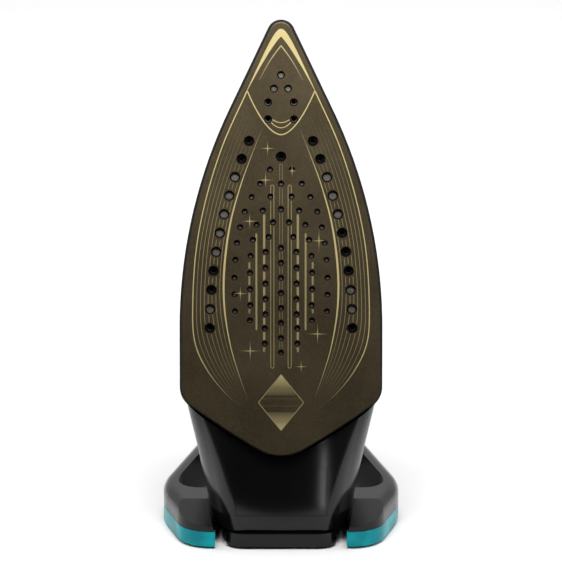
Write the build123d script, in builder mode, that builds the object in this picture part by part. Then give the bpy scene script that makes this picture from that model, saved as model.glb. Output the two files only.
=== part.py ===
"""Cordless steam iron standing nose-up on its charging base.

The iron is drawn in its working position: soleplate face on Z = 0, nose at the origin and pointing
along -Y, handle above. Every iron piece is then stood up and docked. The base is drawn where it
stands: floor on Z = 0, front towards -Y. All sizes are in millimetres.
"""

import os
from math import cos, radians, sin, tan

from build123d import *

# ---------------------------------------------------------------------------- driving sizes
# soleplate
sole_length = 235.0
sole_width = 108.4
sole_thickness = 2.0
sole_edge_radius = 1.0
nose_radius = 6.8
bow_angle = 25.6
bow_radius = 275.0
rear_sweep = 33.0
rear_tip_radius = 24.0
rear_corner_radius = 12.0
rear_bulge = 1.2
least_radius = 0.6

# steam holes: (hole radius, countersink radius) and where each group lies, measured from the nose
nose_hole = (1.55, 2.2)
side_hole = (2.1, 2.9)
vent_hole = (1.05, 1.75)
nose_spots = [(0, 28.8), (-3.8, 36.1), (3.8, 36.1), (-6.9, 43.5), (6.9, 43.5), (-7.0, 52.6), (7.0, 52.6)]
nose_outlets = nose_spots[3:]
centre_spot = (0, 72.8)
side_row = [(17.2, 64.4), (33.1, 114.4), (38.6, 166.1)]
side_count = 11
left_outlets = (0, 1, 7, 8, 10)
right_outlets = (0, 1, 5, 6, 7, 10)
# vent rows: distance from nose, first hole's x, pitch, holes to each side, sweep back per mm of x
vent_rows = [
    (79.8, 5.9, 11.0, 1, 0.00),
    (87.4, 0.0, 11.2, 2, 0.00),
    (94.3, 5.7, 10.1, 2, 0.02),
    (101.2, 0.0, 9.8, 3, 0.07),
    (107.7, 4.3, 8.9, 3, 0.15),
    (115.0, 6.7, 8.5, 3, 0.19),
    (122.3, 0.0, 8.2, 4, 0.26),
    (130.4, 0.0, 8.4, 4, 0.32),
    (138.6, 0.0, 8.4, 4, 0.36),
    (146.8, 0.0, 8.3, 4, 0.40),
    (155.0, 0.0, 8.4, 3, 0.40),
    (163.1, 0.0, 8.8, 2, 0.34),
    (171.4, 0.0, 8.8, 2, 0.34),
    (179.4, 0.0, 8.8, 1, 0.00),
]

# heater casting and steam chamber
casting_inset = 5.0
casting_height = 11.2
chamber_inset = 10.0
chamber_floor = 3.0
outlet_radius = 1.3
gasket_thickness = 0.8
gasket_width = 4.0
cover_thickness = 1.2
element_radius = 3.5
terminal_x = 17.0
terminal_back = 43.0
terminal_top = 27.0
cover_screw_x = sole_width / 2 - 16.2
cover_screw_spots = [(15, 44), (-15, 44), (cover_screw_x, 132), (-cover_screw_x, 132), (0, sole_length - 21)]
screw_radius = 1.5
fuse_radius = 3.0
screw_head_radius = 2.8
screw_head = 1.8

# skirt and heel
rim = 0.8
sole_gap = 0.25
wall = 2.4
skirt_top = 30.0
skirt_draft = 5.0
tail_rim_top = 12.0
joint_gap = 0.4
seam_y = sole_length - 55.0
tail_length = 45.2
heel_front_z = 14.0
shoulder_z = 31.0
deck_z = 64.0
deck_half = 29.5
lean = 10.0
# heel slices: distance behind the soleplate's end, half width below, underside height,
# corner radius, half width at the shoulder, how far the deck is narrower than the tank's
heel_slices = [
    (seam_y - sole_length, sole_width / 2 + 0.2, 2.3, 3.0, sole_width / 2 - 4.6, 0.5),
    (-30.0, sole_width / 2 - 1.2, 3.2, 6.0, sole_width / 2 - 5.7, 1.5),
    (0.0, 46.5, 5.0, 12.0, 44.3, 3.0),
    (27.0, 41.3, 9.5, 14.0, 39.5, 4.5),
    (52.0, 31.5, 15.5, 13.0, 33.0, 5.5),
]
panel_half = 25.0
panel_start = 8.9
panel_length = 27.4
panel_thickness = 1.2
panel_gap = 0.25

# water tank slices: height, front, tip radius, half width, radius of the bowed sides
tank_slices = [
    (skirt_top + joint_gap, 4.6, 3.6, sole_width / 2 - 4.6, 270.0),
    (48.0, 13.0, 8.0, sole_width / 2 - 9.7, 250.0),
    (deck_z, 33.0, 14.0, deck_half, 165.0),
]
tank_wall = 2.2
tunnel_radius = 7.5
filler_half = 9.0
filler_span = (15.0, 27.0)
filler_gap = 0.35
hinge_pin_radius = 0.8
hinge_radius = 1.9
hinge_width = 8.0
hinge_lift = 2.6
lug_width = 3.0

# spray nozzle
nozzle_y = 4.5
nozzle_z = 42.0
nozzle_radius = 3.6
nozzle_length = 9.0
nozzle_bore = 0.9

# handle
handle_width = 42.0
deck_gap = 0.2
handle_wall = 2.5
handle_side_wall = 3.6
handle_edge_radius = 8.0
crest_front = (57.0, 126.0)
crest_middle = (150.0, 135.5)
crest_rear_z = 127.0
crest_rear_back = 29.5
crest_radii = [22.0, 300.0, 20.0]
handle_split_z = 118.0
bar_under_z = 104.0
grip_front_y = 106.0
rear_post = 57.5
grip_corner = 15.0
post_front_y = 44.0
post_rear_back = 7.5
pad_thickness = 2.0
pad_margin = 7.0
pad_half = 14.0

# controls
valve_y = 64.0
spray_y = 77.0
boost_y = 94.0
pump_radius = 7.5
pump_bore = 6.2
pump_top = 100.0
pump_cap = 2.5
suction_radius = 2.4
piston_rod = 2.4
piston_height = 6.0
spray_cap_radius = 6.2
boost_cap_radius = 7.0
cap_flange = 1.1
cap_under_z = 113.0
cap_top = 132.8
button_travel = 3.5
running_gap = 0.35
shaft_gap = 0.08
spring_wire = 0.5
spring_radius = 4.4
spring_turns = 5
dial_y = 146.0
dial_radius = 18.0
dial_height = 7.5
spindle_radius = 3.0
lever_z = 100.0
lever_thickness = 4.5
lever_hub = 4.4
lever_reach = 20.0
lever_swing = 28.0
needle_radius = 1.2
needle_travel = 1.5

lens_back = 35.5
board_back = 39.5
handle_screw_back = 25.5
lens_length = 12.0
lens_width = 5.0

# charging base
base_depth = 154.0
wing_front_y = 0.5
wing_tip = (53.0, 1.0)
wing_radius = 19.0
base_flank = (68.2, 50.0)
flank_radius = 55.0
back_corner = (39.5, base_depth)
back_radius = 34.0
ring_width = 8.5
ring_top = 22.0
ring_edge_radius = 6.0
accent_top = 10.0
accent_depth = 44.0
accent_thickness = 2.6
accent_gap = 0.3
well_floor = 9.0
well_front_y = 39.0
well_corner = 12.0
floor_wall = 2.2
tongue_half = 32.0
tongue_corner = 12.0
notch_half = 36.2
channel_flare = 4.6
slope_foot = 3.0
slope_run = 21.0
foot_height = 1.5
bottom_thickness = 2.0
plinth_y = 36.0
plinth_length = 34.0
plinth_depth = 18.0
plinth_top = 17.5
plinth_corner = 4.0
socket_wall = 2.0
heel_pad = 1.0
pad_clearance = 0.1
heel_seat = 2.95
notch_depth = 26.0
blade_pitch = 9.0
cord_radius = 3.2
gland_radius = 6.0
gland_z = 10.0
foot_radius = 5.0
foot_spots = [(43.0, 36.0), (36.0, 118.0), (14.0, 138.0)]
base_screw_spots = [(46.0, 60.0), (33.0, 104.0)]
rest_pad_spots = [(20.0, 12.0), (12.0, 90.0)]
blade_depth = 4.0

os.makedirs("parts", exist_ok=True)

# ---------------------------------------------------------------------------- shared places
heel_y = sole_length + tail_length
terminal_y = sole_length - terminal_back
grip_rear_y = heel_y - rear_post
pad_span = (grip_front_y + pad_margin, grip_rear_y - pad_margin)
panel_span = (sole_length + panel_start, sole_length + panel_start + panel_length)
handle_crest = [crest_front, crest_middle, (heel_y - crest_rear_back, crest_rear_z)]
cover_z = sole_thickness + casting_height + gasket_thickness
cover_top = cover_z + cover_thickness
sole_rim_z = sole_thickness + sole_gap
handle_half = handle_width / 2
heel_end = Plane(
    (0, heel_y, heel_front_z),
    x_dir=(1, 0, 0),
    z_dir=(0, cos(radians(lean)), sin(radians(lean))),
)
rest_height = heel_y * cos(radians(lean)) + heel_front_z * sin(radians(lean))
stand_off = heel_seat + heel_y * sin(radians(lean)) - heel_front_z * cos(radians(lean))
docked = Location((0, stand_off, well_floor + heel_pad + rest_height), (-(90 + lean), 0, 0))
socket_up = plinth_y - heel_seat

pieces = []


def finish(piece, name, dock=True):
    """Labels a finished piece and, if it belongs to the iron, stands it up on the base."""
    piece.part.label = name
    if dock:
        piece.part.move(docked)
    pieces.append(piece.part)


def boat(front, tip_radius, half):
    """Draws a bow: straight flanks from a rounded tip, swelling to a half width. Gives its corners."""
    apex = front - tip_radius * (1 / sin(radians(bow_angle)) - 1)
    return (0, apex), (half, apex + half / tan(radians(bow_angle)))


def sole_outline(plane, grow=0.0):
    """The soleplate's outline on a plane, grown evenly: round nose, bowed sides, swept rear."""
    half = sole_width / 2 + grow
    tip = sole_length + grow + (rear_tip_radius + grow) * (1 / cos(radians(rear_sweep)) - 1)
    corner = tip - half * tan(radians(rear_sweep))
    middle = (half / 2 + rear_bulge * sin(radians(rear_sweep)), (corner + tip) / 2 + rear_bulge)
    apex, shoulder = boat(-grow, nose_radius + grow, half)
    with BuildSketch(plane) as outline:
        with BuildLine():
            Polyline(apex, shoulder, (half, corner))
            ThreePointArc((half, corner), middle, (0, tip))
            mirror(about=Plane.YZ)
        make_face()
        fillet(outline.vertices().sort_by(Axis.Y)[0], max(nose_radius + grow, least_radius))
        fillet(outline.vertices().sort_by(Axis.Y)[-1], rear_tip_radius + grow)
        fillet([v for v in outline.vertices() if abs(v.Y - shoulder[1]) < 0.01], bow_radius + grow)
        fillet([v for v in outline.vertices() if abs(v.Y - corner) < 0.01], rear_corner_radius + grow)
    return outline.sketch


def shroud(inset, low, high):
    """Two outlines whose loft follows the skirt's slope, set in from its outer face."""
    slope = skirt_draft / (skirt_top - sole_rim_z)
    return [
        sole_outline(Plane.XY.offset(z), rim - inset - slope * (z - sole_rim_z)) for z in (low, high)
    ]


def heel_form(inset=0.0):
    """The solid heel, set in evenly: upright slices lofted along Y and cut off where it stands."""
    slices = []
    for back, low_half, low_z, corner, mid_half, narrowing in heel_slices:
        top_half = deck_half - narrowing
        with BuildSketch(Plane.XZ.offset(-sole_length - back)) as one:
            with BuildLine():
                under = Line((0, low_z), (low_half, low_z))
                flank = Line(under @ 1, (mid_half, shoulder_z))
                bow = (mid_half - 0.28 * (mid_half - top_half), (shoulder_z + deck_z) / 2)
                upper = ThreePointArc(flank @ 1, bow, (top_half, deck_z))
                Line(upper @ 1, (0, deck_z))
                mirror(about=Plane.YZ)
            make_face()
            lower = [v for v in one.vertices() if abs(v.Y - low_z) < 0.01 and abs(v.X) > 1]
            fillet(lower, corner)
            if inset:
                offset(amount=-inset)
        slices.append(one.sketch)
    form = loft(slices, mode=Mode.PRIVATE)
    return split(form, bisect_by=heel_end.offset(-inset), keep=Keep.BOTTOM, mode=Mode.PRIVATE)


def tank_form(inset=0.0):
    """The solid tank, set in evenly: level slices lofted upwards from the skirt to the deck."""
    lift = {tank_slices[0][0]: inset, tank_slices[-1][0]: -inset}
    slices = []
    for z, front, tip_radius, half, bow in tank_slices:
        apex, shoulder = boat(front, tip_radius, half)
        with BuildSketch(Plane.XY.offset(z + lift.get(z, 0))) as one:
            with BuildLine():
                Polyline(apex, shoulder, (half, seam_y - joint_gap), (0, seam_y - joint_gap))
                mirror(about=Plane.YZ)
            make_face()
            fillet(one.vertices().group_by(Axis.Y)[0], tip_radius)
            fillet([v for v in one.vertices() if abs(v.Y - shoulder[1]) < 0.01], bow)
            if inset:
                offset(amount=-inset, kind=Kind.INTERSECTION)
        slices.append(one.sketch)
    return loft(slices, mode=Mode.PRIVATE)


def prism(x_half, y_span, z_span):
    """A plain block set out by its half width, its run in Y and its run in Z."""
    with BuildPart() as block:
        with Locations((0, sum(y_span) / 2, sum(z_span) / 2)):
            Box(2 * x_half, y_span[1] - y_span[0], z_span[1] - z_span[0])
    return block.part


def side_spots(side, which):
    """Centres of the numbered large holes on one side of the soleplate, side being -1 or 1."""
    arc = ThreePointArc(*side_row)
    spots = [arc @ (i / (side_count - 1)) for i in which]
    return [(side * p.X, p.Y) for p in spots]


def vent_spots():
    """Centres of the small holes: chevron rows, each mirrored about the centre line."""
    spots = []
    for y, first, pitch, count, sweep in vent_rows:
        for x in [first + i * pitch for i in range(count)]:
            spots += [(s * x, y + sweep * x) for s in ((1, -1) if x else (1,))]
    return spots


# ---------------------------------------------------------------------------- soleplate
# Enamelled plate with countersunk steam holes, bonded under the casting.
left_spots = side_spots(-1, range(side_count))
right_spots = side_spots(1, range(side_count))
hole_groups = [
    (nose_hole, nose_spots),
    (side_hole, [centre_spot] + left_spots + right_spots),
    (vent_hole, vent_spots()),
]
with BuildPart() as soleplate:
    extrude(sole_outline(Plane.XY), amount=sole_thickness)
    fillet(soleplate.faces().sort_by(Axis.Z)[0].outer_wire().edges(), sole_edge_radius)
    for (hole_radius, sink_radius), spots in hole_groups:
        with Locations(Plane.XY.rotated((180, 0, 0))):
            with Locations([(x, -y) for x, y in spots]):
                CounterSinkHole(hole_radius, sink_radius, depth=sole_thickness)
finish(soleplate, "soleplate")

# ---------------------------------------------------------------------------- heater casting
# Aluminium casting with an open steam chamber on top and outlets down to the live holes.
live_spots = nose_outlets + [centre_spot]
live_spots += side_spots(-1, left_outlets) + side_spots(1, right_outlets)
with BuildPart() as heater_casting:
    extrude(sole_outline(Plane.XY.offset(sole_thickness), -casting_inset), amount=casting_height)
    chamber_plane = Plane.XY.offset(sole_thickness + chamber_floor)
    extrude(sole_outline(chamber_plane, -chamber_inset), amount=casting_height, mode=Mode.SUBTRACT)
    with BuildSketch(Plane.XY.offset(sole_thickness)):
        with Locations(*live_spots):
            Circle(outlet_radius)
    extrude(amount=casting_height, mode=Mode.SUBTRACT)
finish(heater_casting, "heater_casting")

# Tubular element lying on the chamber floor as a U, its two ends turned up as terminals.
element_z = sole_thickness + chamber_floor + element_radius
bends = [(31, 150), (24, 100), (0, 50), (-24, 100), (-31, 150)]
route = [(terminal_x, terminal_y, terminal_top), (terminal_x, terminal_y, element_z)]
route += [(x, y, element_z) for x, y in bends]
route += [(-terminal_x, terminal_y, element_z), (-terminal_x, terminal_y, terminal_top)]
with BuildPart() as heating_element:
    with BuildLine() as element_path:
        FilletPolyline(*route, radius=2 * element_radius)
    with BuildSketch(Plane.XY.offset(terminal_top)):
        with Locations((terminal_x, terminal_y)):
            Circle(element_radius)
    sweep(path=element_path.line)
finish(heating_element, "heating_element")

# Gasket and cover that close the steam chamber.
with BuildPart() as chamber_gasket:
    gasket_plane = Plane.XY.offset(sole_thickness + casting_height)
    extrude(sole_outline(gasket_plane, -casting_inset - 0.5), amount=gasket_thickness)
    inner = -casting_inset - 0.5 - gasket_width
    extrude(sole_outline(gasket_plane, inner), amount=gasket_thickness, mode=Mode.SUBTRACT)
finish(chamber_gasket, "chamber_gasket")

with BuildPart() as chamber_cover:
    extrude(sole_outline(Plane.XY.offset(cover_z), -casting_inset - 0.5), amount=cover_thickness)
    with BuildSketch(Plane.XY.offset(cover_z)):
        with Locations((terminal_x, terminal_y), (-terminal_x, terminal_y)):
            Circle(element_radius + running_gap)
        with Locations((0, valve_y)):
            Circle(needle_radius + running_gap)
    extrude(amount=cover_thickness, mode=Mode.SUBTRACT)
finish(chamber_cover, "chamber_cover")

with BuildPart() as cover_screws:
    with BuildSketch(Plane.XY.offset(cover_top)):
        with Locations(*cover_screw_spots):
            Circle(screw_head_radius)
            RegularPolygon(screw_radius * 0.8, 6, mode=Mode.SUBTRACT)
    extrude(amount=screw_head)
finish(cover_screws, "cover_screws")

# ---------------------------------------------------------------------------- thermostat and fuse
# Round thermostat clamped on the chamber cover, with a bore for the dial's spindle.
with BuildPart() as thermostat:
    with BuildSketch(Plane.XY.offset(cover_top)):
        with Locations((0, dial_y)):
            Circle(13)
            Rectangle(38, 9)
            Circle(spindle_radius + shaft_gap, mode=Mode.SUBTRACT)
    extrude(amount=2.0)
    with BuildSketch(Plane.XY.offset(cover_top + 2.0)):
        with Locations((0, dial_y)):
            Circle(11)
            Circle(spindle_radius + shaft_gap, mode=Mode.SUBTRACT)
    extrude(amount=6.5)
finish(thermostat, "thermostat")

with BuildPart() as thermal_fuse:
    with Locations((0, dial_y + 24, cover_top + fuse_radius)):
        Cylinder(fuse_radius, 18, rotation=(0, 90, 0))
finish(thermal_fuse, "thermal_fuse")

# ---------------------------------------------------------------------------- skirt
# Black heat-resistant shroud: its lower edge shows as a thin rim all round the soleplate.
with BuildPart() as skirt:
    loft(shroud(0, sole_rim_z, skirt_top))
    loft(shroud(wall, sole_rim_z, skirt_top), mode=Mode.SUBTRACT)
    add(prism(sole_width, (seam_y, sole_length + 20), (tail_rim_top, skirt_top + 1)), mode=Mode.SUBTRACT)
finish(skirt, "skirt")

# ---------------------------------------------------------------------------- heel
# Hollow tail shell behind the tank: the iron stands on its rear face.
socket_length = plinth_length + 2 * running_gap + 2 * socket_wall
socket_depth = plinth_depth + 2 * running_gap + 2 * socket_wall
socket_height = plinth_top - well_floor - heel_pad + 1.5 + socket_wall
with BuildPart() as heel_shell:
    add(heel_form())
    add(heel_form(wall), mode=Mode.SUBTRACT)
    add(prism(sole_width, (0, seam_y), (0, deck_z + 1)), mode=Mode.SUBTRACT)
    loft(shroud(-1.5, -1.0, tail_rim_top), mode=Mode.SUBTRACT)
    loft(shroud(wall, tail_rim_top, tail_rim_top + 5), mode=Mode.SUBTRACT)
    add(
        prism(panel_half + panel_gap, (panel_span[0] - panel_gap, panel_span[1] + panel_gap), (-5, 24))
        - heel_form(panel_thickness),
        mode=Mode.SUBTRACT,
    )
    with BuildSketch(heel_end):
        with Locations((0, -socket_up)):
            RectangleRounded(socket_length, socket_depth, plinth_corner)
    extrude(amount=-wall - 1, mode=Mode.SUBTRACT)
finish(heel_shell, "heel_shell")

with BuildPart() as heel_panel:
    add(heel_form() & prism(panel_half, panel_span, (-5, 24)))
    add(heel_form(panel_thickness), mode=Mode.SUBTRACT)
finish(heel_panel, "heel_panel")

# Socket cup that drops over the base's contact plinth, and its three contact blades.
with BuildPart() as contact_socket:
    with BuildSketch(heel_end):
        with Locations((0, -socket_up)):
            RectangleRounded(socket_length, socket_depth, plinth_corner)
    extrude(amount=-socket_height)
    with BuildSketch(heel_end):
        with Locations((0, -socket_up)):
            RectangleRounded(
                socket_length - 2 * socket_wall, socket_depth - 2 * socket_wall, plinth_corner - socket_wall
            )
    extrude(amount=socket_wall - socket_height, mode=Mode.SUBTRACT)
finish(contact_socket, "contact_socket")

with BuildPart() as iron_contacts:
    with BuildSketch(heel_end.offset(socket_wall - socket_height)):
        with Locations((0, -socket_up)):
            with GridLocations(blade_pitch, 1, 3, 1):
                Rectangle(4.0, 10.0)
    extrude(amount=0.8)
finish(iron_contacts, "iron_contacts")

# ---------------------------------------------------------------------------- water tank
# Translucent tank with a tunnel for the dial's spindle, a filler mouth and holes for the pumps.
tank_floor_z = tank_slices[0][0]
suction_spots = [(0, spray_y), (0, boost_y)]
with BuildPart() as water_tank:
    add(tank_form())
    add(tank_form(tank_wall), mode=Mode.SUBTRACT)
    with BuildSketch(Plane.XY.offset(tank_floor_z)):
        with Locations((0, dial_y)):
            Circle(tunnel_radius + tank_wall)
    extrude(amount=deck_z - tank_floor_z)
    with BuildSketch(Plane.XY.offset(tank_floor_z)):
        with Locations((0, dial_y)):
            Circle(tunnel_radius)
    extrude(amount=deck_z - tank_floor_z, mode=Mode.SUBTRACT)
    with BuildSketch(Plane.XY.offset(tank_floor_z)):
        with Locations((0, valve_y)):
            Circle(4.0)
    extrude(amount=tank_wall + 1, mode=Mode.SUBTRACT)
    with BuildSketch(Plane.XY.offset(deck_z)):
        with Locations((0, valve_y), *suction_spots):
            Circle(suction_radius + running_gap)
    extrude(amount=-tank_wall - 1, mode=Mode.SUBTRACT)
    mouth_y = (filler_span[0] - filler_gap, filler_span[1] + filler_gap)
    add(prism(filler_half + filler_gap, mouth_y, (40, deck_z + 1)), mode=Mode.SUBTRACT)
finish(water_tank, "water_tank")

# Brass valve seat between the tank and the steam chamber.
with BuildPart() as valve_seat:
    with BuildSketch(Plane.XY.offset(cover_top)):
        with Locations((0, valve_y)):
            Circle(3.8)
            Circle(needle_radius + 0.8, mode=Mode.SUBTRACT)
    extrude(amount=tank_floor_z + tank_wall + 1 - cover_top)
finish(valve_seat, "valve_seat")

# Filler door hinged at its upper edge on a pin held by two lugs.
hinge_y = filler_span[1] + 2.2
door_edge = (tank_form() & prism(1.0, (filler_span[1], hinge_y), (40, deck_z + 1))).bounding_box().max.Z
hinge_z = door_edge + hinge_lift
with BuildPart() as filler_door:
    with BuildSketch(Plane.YZ.offset(-hinge_width / 2)):
        with Locations((hinge_y, hinge_z)):
            Circle(hinge_radius)
        with BuildLine():
            Polyline(
                (hinge_y, hinge_z + hinge_radius),
                (filler_span[0] + hinge_width, deck_z - hinge_width),
                (filler_span[1], deck_z - hinge_width),
                (filler_span[1], hinge_z - hinge_lift),
                (hinge_y, hinge_z - hinge_radius / 2),
                close=True,
            )
        make_face()
    extrude(amount=hinge_width)
    add(tank_form() & prism(filler_half, filler_span, (40, deck_z + 1)))
    add(tank_form(tank_wall), mode=Mode.SUBTRACT)
    with BuildSketch(Plane.YZ.offset(-hinge_width)):
        with Locations((hinge_y, hinge_z)):
            Circle(hinge_pin_radius + shaft_gap)
    extrude(amount=2 * hinge_width, mode=Mode.SUBTRACT)
finish(filler_door, "filler_door")

with BuildPart() as filler_pin:
    with Locations((0, hinge_y, hinge_z)):
        Cylinder(hinge_pin_radius, hinge_width + 2 * (running_gap + lug_width), rotation=(0, 90, 0))
finish(filler_pin, "filler_pin")

with BuildPart() as filler_lugs:
    with BuildSketch(Plane.YZ.offset(hinge_width / 2 + running_gap)):
        with Locations((hinge_y, hinge_z)):
            Circle(hinge_radius)
        with BuildLine():
            Polyline(
                (hinge_y - hinge_radius, hinge_z),
                (hinge_y + hinge_radius, hinge_z),
                (hinge_y + 2 * hinge_radius, deck_z - 3 * hinge_lift),
                (hinge_y - hinge_radius, deck_z - 3 * hinge_lift),
                close=True,
            )
        make_face()
        with Locations((hinge_y, hinge_z)):
            Circle(hinge_pin_radius, mode=Mode.SUBTRACT)
    extrude(amount=lug_width)
    add(tank_form(), mode=Mode.SUBTRACT)
    mirror(about=Plane.YZ)
finish(filler_lugs, "filler_lugs")

# ---------------------------------------------------------------------------- spray nozzle
# Nozzle collar standing on the tank's nose.
with BuildPart() as spray_nozzle:
    with BuildSketch(Plane.XZ.offset(-nozzle_y)):
        with Locations((0, nozzle_z)):
            Circle(nozzle_radius)
    extrude(amount=-nozzle_length)
    chamfer(spray_nozzle.faces().sort_by(Axis.Y)[0].edges(), 1.2)
    with BuildSketch(Plane.XZ.offset(-nozzle_y)):
        with Locations((0, nozzle_z)):
            Circle(nozzle_bore)
    extrude(amount=-nozzle_length / 2, mode=Mode.SUBTRACT)
    add(tank_form(), mode=Mode.SUBTRACT)
finish(spray_nozzle, "spray_nozzle")

# ---------------------------------------------------------------------------- handle
# A hollow bridge in two shells: the lower one carries the posts, the upper one the buttons.
handle_foot = deck_z + deck_gap


def handle_form(inset=0.0, side_inset=0.0):
    """The solid handle, set in evenly: a side view with the finger gap, carried across the width."""
    with BuildSketch(Plane.YZ.offset(side_inset - handle_half)) as side_view:
        with BuildLine():
            post_back = (heel_y - post_rear_back, handle_foot)
            Polyline((post_front_y, handle_foot), *handle_crest, post_back, close=True)
        make_face()
        for corner, radius in zip(handle_crest, crest_radii):
            fillet(side_view.vertices().sort_by_distance(Vector(*corner, 0))[0], radius)
        with BuildSketch(mode=Mode.SUBTRACT):
            gap_middle = ((grip_front_y + grip_rear_y) / 2, (bar_under_z + handle_foot) / 2 - grip_corner)
            with Locations(gap_middle):
                RectangleRounded(
                    grip_rear_y - grip_front_y, bar_under_z - handle_foot + 2 * grip_corner, grip_corner
                )
        if inset:
            offset(amount=-inset, kind=Kind.INTERSECTION)
    return extrude(side_view.sketch, amount=2 * (handle_half - side_inset), mode=Mode.PRIVATE)


def handle_shell():
    """The handle's hollow wall, rounded along its long edges and cut where the iron stands."""
    with BuildPart() as shell:
        add(handle_form())
        ends = shell.faces().sort_by(Axis.X)
        long_edges = ends[0].outer_wire().edges() + ends[-1].outer_wire().edges()
        long_edges = long_edges.filter_by_position(Axis.Z, handle_foot + 1, handle_crest[1][1] + 5)
        fillet(long_edges, handle_edge_radius)
        add(handle_form(handle_wall, handle_side_wall), mode=Mode.SUBTRACT)
        split(bisect_by=heel_end, keep=Keep.BOTTOM)
    return shell.part


handle_whole = handle_shell()
cap_spots = [(spray_y, spray_cap_radius), (boost_y, boost_cap_radius)]
with BuildPart() as handle_body:
    add(handle_whole)
    split(bisect_by=Plane.XY.offset(handle_split_z), keep=Keep.BOTTOM)
    post_span = (post_front_y + 8, grip_front_y - 3)
    add(prism(handle_half - 8, post_span, (handle_foot - 1, handle_foot + 4)), mode=Mode.SUBTRACT)
    slot_span = (post_front_y - 5, post_front_y + 18)
    lever_slot = (lever_z - running_gap, lever_z + lever_thickness + running_gap)
    add(prism(10, slot_span, lever_slot), mode=Mode.SUBTRACT)
    shelf = (valve_y - 7, valve_y + 5.2)
    add(prism(handle_half - handle_side_wall, shelf, (lever_z - 3, lever_z - running_gap)))
    with BuildSketch(Plane.XY.offset(lever_z - 3)):
        with Locations((0, valve_y)):
            Circle(needle_radius + shaft_gap)
    extrude(amount=3, mode=Mode.SUBTRACT)
finish(handle_body, "handle_body")

with BuildPart() as handle_cover:
    add(handle_whole)
    split(bisect_by=Plane.XY.offset(handle_split_z), keep=Keep.TOP)
    for y, radius in cap_spots:
        with BuildSketch(Plane.XY.offset(handle_split_z)):
            with Locations((0, y)):
                Circle(radius + running_gap)
        extrude(amount=handle_crest[1][1] - handle_split_z, mode=Mode.SUBTRACT)
    with BuildSketch(Plane.XY.offset(handle_split_z)):
        with Locations((0, heel_y - lens_back)):
            SlotOverall(lens_length, lens_width)
    extrude(amount=handle_crest[1][1] - handle_split_z, mode=Mode.SUBTRACT)
    pad_room = prism(pad_half, pad_span, (handle_split_z, handle_crest[1][1] + 5))
    add(pad_room - handle_form(pad_thickness), mode=Mode.SUBTRACT)
finish(handle_cover, "handle_cover")

with BuildPart() as grip_pad:
    add(handle_form() & prism(pad_half, pad_span, (handle_split_z, handle_crest[1][1] + 5)))
    add(handle_form(pad_thickness), mode=Mode.SUBTRACT)
finish(grip_pad, "grip_pad")

# ---------------------------------------------------------------------------- pumps and buttons
for name, y, cap_radius in (("spray", spray_y, spray_cap_radius), ("boost", boost_y, boost_cap_radius)):
    with BuildPart() as pump:
        with BuildSketch(Plane.XY.offset(handle_foot)):
            with Locations((0, y)):
                Circle(pump_radius)
        extrude(amount=pump_top - handle_foot)
        with BuildSketch(Plane.XY.offset(handle_foot + pump_cap)):
            with Locations((0, y)):
                Circle(pump_bore)
        extrude(amount=pump_top - handle_foot - 2 * pump_cap, mode=Mode.SUBTRACT)
        with BuildSketch(Plane.XY.offset(handle_foot)):
            with Locations((0, y)):
                Circle(suction_radius)
        extrude(amount=tank_floor_z + 5 - handle_foot)
        with BuildSketch(Plane.XY.offset(tank_floor_z + 5)):
            with Locations((0, y)):
                Circle(suction_radius / 2)
        extrude(amount=handle_foot + pump_cap - tank_floor_z - 5, mode=Mode.SUBTRACT)
        with BuildSketch(Plane.XY.offset(pump_top)):
            with Locations((0, y)):
                Circle(piston_rod + shaft_gap)
        extrude(amount=-pump_cap, mode=Mode.SUBTRACT)
    finish(pump, f"{name}_pump")

    with BuildPart() as piston:
        piston_z = pump_top - pump_cap - piston_height - 1
        with BuildSketch(Plane.XY.offset(piston_z)):
            with Locations((0, y)):
                Circle(pump_bore - shaft_gap)
        extrude(amount=piston_height)
        with BuildSketch(Plane.XY.offset(piston_z)):
            with Locations((0, y)):
                Circle(piston_rod)
        extrude(amount=cap_under_z - piston_z)
    finish(piston, f"{name}_piston")

    with BuildPart() as button:
        with BuildSketch(Plane.XY.offset(cap_under_z)):
            with Locations((0, y)):
                Circle(cap_radius + cap_flange)
        extrude(amount=2)
        with BuildSketch(Plane.XY.offset(cap_under_z)):
            with Locations((0, y)):
                Circle(cap_radius)
        extrude(amount=cap_top - cap_under_z)
        fillet(button.faces().sort_by(Axis.Z)[-1].edges(), 1.4)
    finish(button, f"{name}_button")

    with BuildPart() as spring:
        lead = (cap_under_z - pump_top - 3 * spring_wire) / spring_turns
        with BuildLine():
            coil = Helix(lead, lead * spring_turns, spring_radius, center=(0, y, pump_top + spring_wire))
        with BuildSketch(Plane(coil @ 0, z_dir=coil % 0)):
            Circle(spring_wire)
        sweep(is_frenet=True)
    finish(spring, f"{name}_spring")

# ---------------------------------------------------------------------------- steam lever and valve
with BuildPart() as steam_lever:
    with BuildSketch(Plane.XY.offset(lever_z)):
        with Locations((0, valve_y)):
            Circle(lever_hub)
        with Locations((0, valve_y - lever_reach / 2)):
            Rectangle(5, lever_reach)
        with Locations((0, valve_y - lever_reach)):
            RectangleRounded(11, 6, 2.4)
        with Locations((0, valve_y)):
            Circle(needle_radius + shaft_gap, mode=Mode.SUBTRACT)
    extrude(amount=lever_thickness)
finish(steam_lever, "steam_lever")

needle_foot = tank_floor_z + tank_wall + 1.0 + 2.0
with BuildPart() as valve_needle:
    with BuildSketch(Plane.XY.offset(needle_foot)):
        with Locations((0, valve_y)):
            Circle(needle_radius)
    extrude(amount=lever_z + lever_thickness + 3 - needle_foot)
    chamfer(valve_needle.faces().sort_by(Axis.Z)[0].edges(), 0.6)
finish(valve_needle, "valve_needle")

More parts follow.
